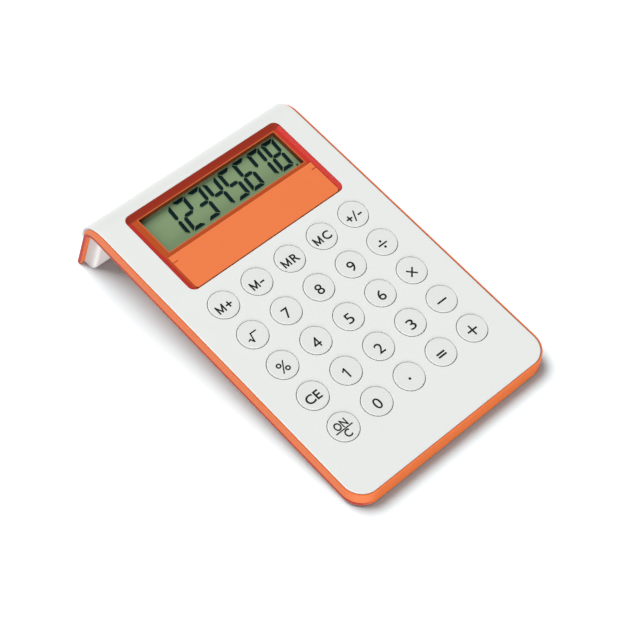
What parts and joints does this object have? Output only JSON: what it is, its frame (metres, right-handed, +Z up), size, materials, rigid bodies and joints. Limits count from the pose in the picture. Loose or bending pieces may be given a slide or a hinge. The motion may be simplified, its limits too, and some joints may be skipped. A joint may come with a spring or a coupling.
{
  "type": "desk calculator",
  "caption": "Thin sloping desk calculator: white key plate folded over an orange base and leg, round push keys, a numeric display in a red bezel and a coin-cell door in the leg.",
  "frame": {"origin": "middle of the object's footprint on the table it stands on", "axes": "+X to the user's right, +Y away from the user, +Z up"},
  "size_m": [0.1, 0.1592, 0.0305],
  "materials": {
    "white_plastic": "satin",
    "key_plastic": "satin",
    "orange_plastic": "satin",
    "panel_plastic": "matte",
    "red_lens": "gloss",
    "display_film": "satin",
    "display_glass": "clear",
    "reflector_film": "satin",
    "ribbon_film": "satin",
    "board_laminate": "satin",
    "black_resin": "gloss",
    "silicone": "matte",
    "cell_steel": "satin",
    "contact_brass": "satin",
    "lead_red": "satin",
    "lead_black": "satin",
    "screw_steel": "satin",
    "foot_rubber": "matte"
  },
  "bodies": {
    "case": {"board_components": "black_resin", "bottom_cover": "orange_plastic", "button_cell": "cell_steel", "chip_blob": "black_resin", "circuit_board": "board_laminate", "contact_negative": "contact_brass", "contact_positive": "contact_brass", "cover_screws": "screw_steel", "display_bezel": "red_lens", "display_panel": "panel_plastic", "display_ribbon": "ribbon_film", "front_feet": "foot_rubber", "key_domes": "silicone", "key_mat": "silicone", "lcd_front_glass": "display_glass", "lcd_polariser": "display_film", "lcd_rear_glass": "display_glass", "lcd_reflector": "reflector_film", "lead_negative": "lead_black", "lead_positive": "lead_red", "leg_housing": "white_plastic", "leg_screws": "screw_steel", "rear_feet": "foot_rubber", "side_frame": "orange_plastic", "top_cover": "white_plastic"},
    "key_m_plus": {"key_m_plus": "key_plastic"},
    "key_m_minus": {"key_m_minus": "key_plastic"},
    "key_mr": {"key_mr": "key_plastic"},
    "key_mc": {"key_mc": "key_plastic"},
    "key_sign": {"key_sign": "key_plastic"},
    "key_root": {"key_root": "key_plastic"},
    "key_7": {"key_7": "key_plastic"},
    "key_8": {"key_8": "key_plastic"},
    "key_9": {"key_9": "key_plastic"},
    "key_divide": {"key_divide": "key_plastic"},
    "key_percent": {"key_percent": "key_plastic"},
    "key_4": {"key_4": "key_plastic"},
    "key_5": {"key_5": "key_plastic"},
    "key_6": {"key_6": "key_plastic"},
    "key_multiply": {"key_multiply": "key_plastic"},
    "key_ce": {"key_ce": "key_plastic"},
    "key_1": {"key_1": "key_plastic"},
    "key_2": {"key_2": "key_plastic"},
    "key_3": {"key_3": "key_plastic"},
    "key_minus": {"key_minus": "key_plastic"},
    "key_on_c": {"key_on_c": "key_plastic"},
    "key_0": {"key_0": "key_plastic"},
    "key_point": {"key_point": "key_plastic"},
    "key_equals": {"key_equals": "key_plastic"},
    "key_plus": {"key_plus": "key_plastic"},
    "cell_door": {"cell_door": "white_plastic"}
  },
  "joints": [
    {"name": "press_m_plus", "type": "slide", "parent": "case", "child": "key_m_plus", "axis": [0, 0.1621, -0.9868], "range_m": [0, 0.0007], "stiffness_N_per_m": 400, "deforming": ["key_domes"]},
    {"name": "press_m_minus", "type": "slide", "parent": "case", "child": "key_m_minus", "axis": [0, 0.1621, -0.9868], "range_m": [0, 0.0007], "stiffness_N_per_m": 400, "deforming": ["key_domes"]},
    {"name": "press_mr", "type": "slide", "parent": "case", "child": "key_mr", "axis": [0, 0.1621, -0.9868], "range_m": [0, 0.0007], "stiffness_N_per_m": 400, "deforming": ["key_domes"]},
    {"name": "press_mc", "type": "slide", "parent": "case", "child": "key_mc", "axis": [0, 0.1621, -0.9868], "range_m": [0, 0.0007], "stiffness_N_per_m": 400, "deforming": ["key_domes"]},
    {"name": "press_sign", "type": "slide", "parent": "case", "child": "key_sign", "axis": [0, 0.1621, -0.9868], "range_m": [0, 0.0007], "stiffness_N_per_m": 400, "deforming": ["key_domes"]},
    {"name": "press_root", "type": "slide", "parent": "case", "child": "key_root", "axis": [0, 0.1621, -0.9868], "range_m": [0, 0.0007], "stiffness_N_per_m": 400, "deforming": ["key_domes"]},
    {"name": "press_7", "type": "slide", "parent": "case", "child": "key_7", "axis": [0, 0.1621, -0.9868], "range_m": [0, 0.0007], "stiffness_N_per_m": 400, "deforming": ["key_domes"]},
    {"name": "press_8", "type": "slide", "parent": "case", "child": "key_8", "axis": [0, 0.1621, -0.9868], "range_m": [0, 0.0007], "stiffness_N_per_m": 400, "deforming": ["key_domes"]},
    {"name": "press_9", "type": "slide", "parent": "case", "child": "key_9", "axis": [0, 0.1621, -0.9868], "range_m": [0, 0.0007], "stiffness_N_per_m": 400, "deforming": ["key_domes"]},
    {"name": "press_divide", "type": "slide", "parent": "case", "child": "key_divide", "axis": [0, 0.1621, -0.9868], "range_m": [0, 0.0007], "stiffness_N_per_m": 400, "deforming": ["key_domes"]},
    {"name": "press_percent", "type": "slide", "parent": "case", "child": "key_percent", "axis": [0, 0.1621, -0.9868], "range_m": [0, 0.0007], "stiffness_N_per_m": 400, "deforming": ["key_domes"]},
    {"name": "press_4", "type": "slide", "parent": "case", "child": "key_4", "axis": [0, 0.1621, -0.9868], "range_m": [0, 0.0007], "stiffness_N_per_m": 400, "deforming": ["key_domes"]},
    {"name": "press_5", "type": "slide", "parent": "case", "child": "key_5", "axis": [0, 0.1621, -0.9868], "range_m": [0, 0.0007], "stiffness_N_per_m": 400, "deforming": ["key_domes"]},
    {"name": "press_6", "type": "slide", "parent": "case", "child": "key_6", "axis": [0, 0.1621, -0.9868], "range_m": [0, 0.0007], "stiffness_N_per_m": 400, "deforming": ["key_domes"]},
    {"name": "press_multiply", "type": "slide", "parent": "case", "child": "key_multiply", "axis": [0, 0.1621, -0.9868], "range_m": [0, 0.0007], "stiffness_N_per_m": 400, "deforming": ["key_domes"]},
    {"name": "press_ce", "type": "slide", "parent": "case", "child": "key_ce", "axis": [0, 0.1621, -0.9868], "range_m": [0, 0.0007], "stiffness_N_per_m": 400, "deforming": ["key_domes"]},
    {"name": "press_1", "type": "slide", "parent": "case", "child": "key_1", "axis": [0, 0.1621, -0.9868], "range_m": [0, 0.0007], "stiffness_N_per_m": 400, "deforming": ["key_domes"]},
    {"name": "press_2", "type": "slide", "parent": "case", "child": "key_2", "axis": [0, 0.1621, -0.9868], "range_m": [0, 0.0007], "stiffness_N_per_m": 400, "deforming": ["key_domes"]},
    {"name": "press_3", "type": "slide", "parent": "case", "child": "key_3", "axis": [0, 0.1621, -0.9868], "range_m": [0, 0.0007], "stiffness_N_per_m": 400, "deforming": ["key_domes"]},
    {"name": "press_minus", "type": "slide", "parent": "case", "child": "key_minus", "axis": [0, 0.1621, -0.9868], "range_m": [0, 0.0007], "stiffness_N_per_m": 400, "deforming": ["key_domes"]},
    {"name": "press_on_c", "type": "slide", "parent": "case", "child": "key_on_c", "axis": [0, 0.1621, -0.9868], "range_m": [0, 0.0007], "stiffness_N_per_m": 400, "deforming": ["key_domes"]},
    {"name": "press_0", "type": "slide", "parent": "case", "child": "key_0", "axis": [0, 0.1621, -0.9868], "range_m": [0, 0.0007], "stiffness_N_per_m": 400, "deforming": ["key_domes"]},
    {"name": "press_point", "type": "slide", "parent": "case", "child": "key_point", "axis": [0, 0.1621, -0.9868], "range_m": [0, 0.0007], "stiffness_N_per_m": 400, "deforming": ["key_domes"]},
    {"name": "press_equals", "type": "slide", "parent": "case", "child": "key_equals", "axis": [0, 0.1621, -0.9868], "range_m": [0, 0.0007], "stiffness_N_per_m": 400, "deforming": ["key_domes"]},
    {"name": "press_plus", "type": "slide", "parent": "case", "child": "key_plus", "axis": [0, 0.1621, -0.9868], "range_m": [0, 0.0007], "stiffness_N_per_m": 400, "deforming": ["key_domes"]},
    {"name": "door_turn", "type": "hinge", "parent": "case", "child": "cell_door", "pos_m": [0.025, 0.06894, 0.01081], "axis": [0, -0.9509, -0.3095], "range_deg": [0, 40]}
  ]
}
